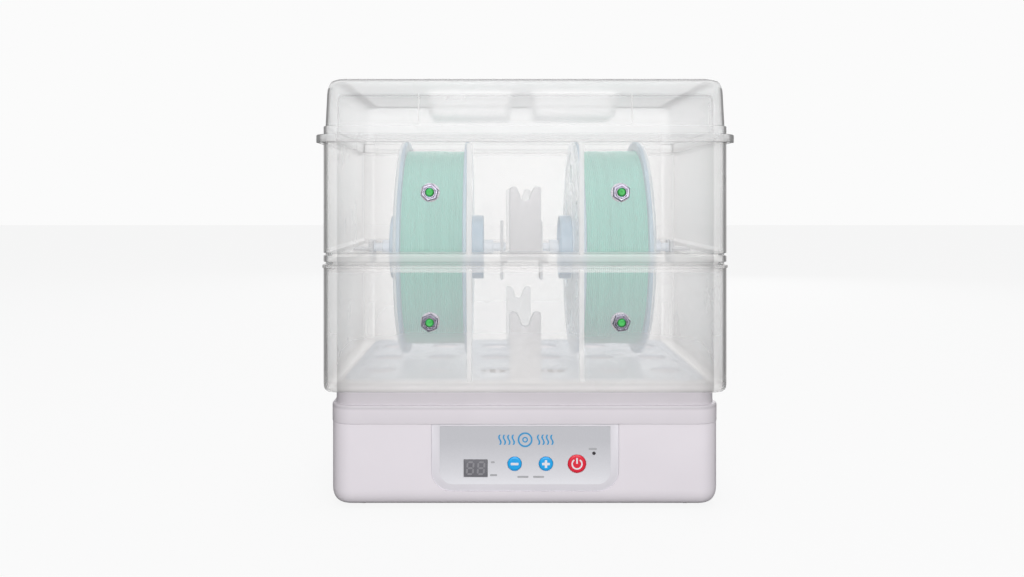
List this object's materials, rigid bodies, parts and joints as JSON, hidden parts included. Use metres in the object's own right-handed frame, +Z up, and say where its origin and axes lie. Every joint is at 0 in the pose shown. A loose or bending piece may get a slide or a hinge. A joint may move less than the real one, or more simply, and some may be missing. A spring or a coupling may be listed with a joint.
{
  "type": "filament dryer",
  "caption": "Stacking filament dryer: heater base with fan and control panel, two translucent trays, lid, and filament spools turning on spindles inside.",
  "frame": {"origin": "on the floor under the middle of the base, at the feet's undersides", "axes": "+X to the right seen from the front, +Y from the front (control panel) to the rear, +Z up"},
  "size_m": [0.348, 0.252, 0.3575],
  "materials": {
    "base_white": "smooth satin moulding",
    "clear_tray": "translucent milky polypropylene, smooth",
    "holder_white": "satin moulding",
    "spool_blue": "translucent pale blue, smooth",
    "filament_mint": "wound filament, softly shiny strands",
    "steel": "plated",
    "plug_green": "soft plastic",
    "panel_silver": "silver-grey printed film",
    "button_blue": "smooth",
    "button_red": "smooth",
    "dark_lens": "smoked window",
    "rubber": "matte",
    "board_green": "lacquered board",
    "fan_black": "satin moulding",
    "mica": "mica sheet, dull"
  },
  "bodies": {
    "heater_base": {"base_bottom_shell": "base_white", "base_top_cover": "base_white", "air_outlet_grille": "base_white", "fan_housing": "fan_black", "heater_frame": "mica", "heater_coil": "steel", "power_inlet": "fan_black", "panel_bezel": "base_white", "panel_overlay": "panel_silver", "display_window": "dark_lens", "control_board": "board_green", "foot_front_left": "rubber", "foot_rear_left": "rubber", "foot_front_right": "rubber", "foot_rear_right": "rubber", "base_screw_front_left": "steel", "base_screw_rear_left": "steel", "base_screw_front_right": "steel", "base_screw_rear_right": "steel"},
    "fan_rotor": {"fan_rotor": "fan_black"},
    "button_minus": {"button_minus": "button_blue"},
    "button_plus": {"button_plus": "button_blue"},
    "button_power": {"button_power": "button_red"},
    "lower_tray": {"lower_tray": "clear_tray", "shaft_post_lower_front": "holder_white", "shaft_post_lower_rear": "holder_white", "outlet_sleeve_lower_left": "steel", "outlet_sleeve_lower_right": "steel", "outlet_nut_lower_left": "steel", "outlet_nut_lower_right": "steel", "vent_floor": "clear_tray"},
    "upper_tray": {"upper_tray": "clear_tray", "shaft_post_upper_front": "holder_white", "shaft_post_upper_rear": "holder_white", "outlet_sleeve_upper_left": "steel", "outlet_sleeve_upper_right": "steel", "outlet_nut_upper_left": "steel", "outlet_nut_upper_right": "steel", "centre_bridge": "holder_white", "spindle_saddle_left": "holder_white", "spindle_saddle_right": "holder_white"},
    "lid": {"lid": "clear_tray"},
    "plug_lower_left": {"outlet_plug_lower_left": "plug_green"},
    "plug_lower_right": {"outlet_plug_lower_right": "plug_green"},
    "plug_upper_left": {"outlet_plug_upper_left": "plug_green"},
    "plug_upper_right": {"outlet_plug_upper_right": "plug_green"},
    "spindle_left": {"spindle_left": "holder_white", "spindle_collar_left": "holder_white"},
    "spool_left": {"spool_core_left": "spool_blue", "spool_flange_left": "spool_blue", "filament_winding_left": "filament_mint", "hub_adapter_left_outer": "spool_blue", "hub_adapter_left_inner": "spool_blue"},
    "spindle_right": {"spindle_right": "holder_white", "spindle_collar_right": "holder_white"},
    "spool_right": {"spool_core_right": "spool_blue", "spool_flange_right": "spool_blue", "filament_winding_right": "filament_mint", "hub_adapter_right_outer": "spool_blue", "hub_adapter_right_inner": "spool_blue"}
  },
  "joints": [
    {"name": "lower_tray_lift", "type": "slide", "parent": "heater_base", "child": "lower_tray", "axis": [0, 0, 1], "range_m": [0, 0.03]},
    {"name": "upper_tray_lift", "type": "slide", "parent": "lower_tray", "child": "upper_tray", "axis": [0, 0, 1], "range_m": [0, 0.12]},
    {"name": "lid_lift", "type": "slide", "parent": "upper_tray", "child": "lid", "axis": [0, 0, 1], "range_m": [0, 0.06]},
    {"name": "fan_spin", "type": "hinge", "parent": "heater_base", "child": "fan_rotor", "pos_m": [0, 0.006, 0.0365], "axis": [0, 0, 1], "continuous": true},
    {"name": "minus_press", "type": "slide", "parent": "heater_base", "child": "button_minus", "axis": [0, 1, 0], "range_m": [0, 0.001], "stiffness_N_per_m": 200, "springref_m": -0.001},
    {"name": "plus_press", "type": "slide", "parent": "heater_base", "child": "button_plus", "axis": [0, 1, 0], "range_m": [0, 0.001], "stiffness_N_per_m": 200, "springref_m": -0.001},
    {"name": "power_press", "type": "slide", "parent": "heater_base", "child": "button_power", "axis": [0, 1, 0], "range_m": [0, 0.001], "stiffness_N_per_m": 200, "springref_m": -0.001},
    {"name": "plug_lower_left_pull", "type": "slide", "parent": "lower_tray", "child": "plug_lower_left", "axis": [0, -1, 0], "range_m": [0, 0.015]},
    {"name": "plug_lower_right_pull", "type": "slide", "parent": "lower_tray", "child": "plug_lower_right", "axis": [0, -1, 0], "range_m": [0, 0.015]},
    {"name": "plug_upper_left_pull", "type": "slide", "parent": "upper_tray", "child": "plug_upper_left", "axis": [0, -1, 0], "range_m": [0, 0.015]},
    {"name": "plug_upper_right_pull", "type": "slide", "parent": "upper_tray", "child": "plug_upper_right", "axis": [0, -1, 0], "range_m": [0, 0.015]},
    {"name": "spindle_left_lift", "type": "slide", "parent": "upper_tray", "child": "spindle_left", "axis": [0, 0, 1], "range_m": [0, 0.018]},
    {"name": "spool_left_spin", "type": "hinge", "parent": "spindle_left", "child": "spool_left", "pos_m": [-0.0792, 0, 0.2115], "axis": [1, 0, 0], "continuous": true},
    {"name": "spindle_right_lift", "type": "slide", "parent": "upper_tray", "child": "spindle_right", "axis": [0, 0, 1], "range_m": [0, 0.018]},
    {"name": "spool_right_spin", "type": "hinge", "parent": "spindle_right", "child": "spool_right", "pos_m": [0.0792, 0, 0.2115], "axis": [1, 0, 0], "continuous": true}
  ]
}
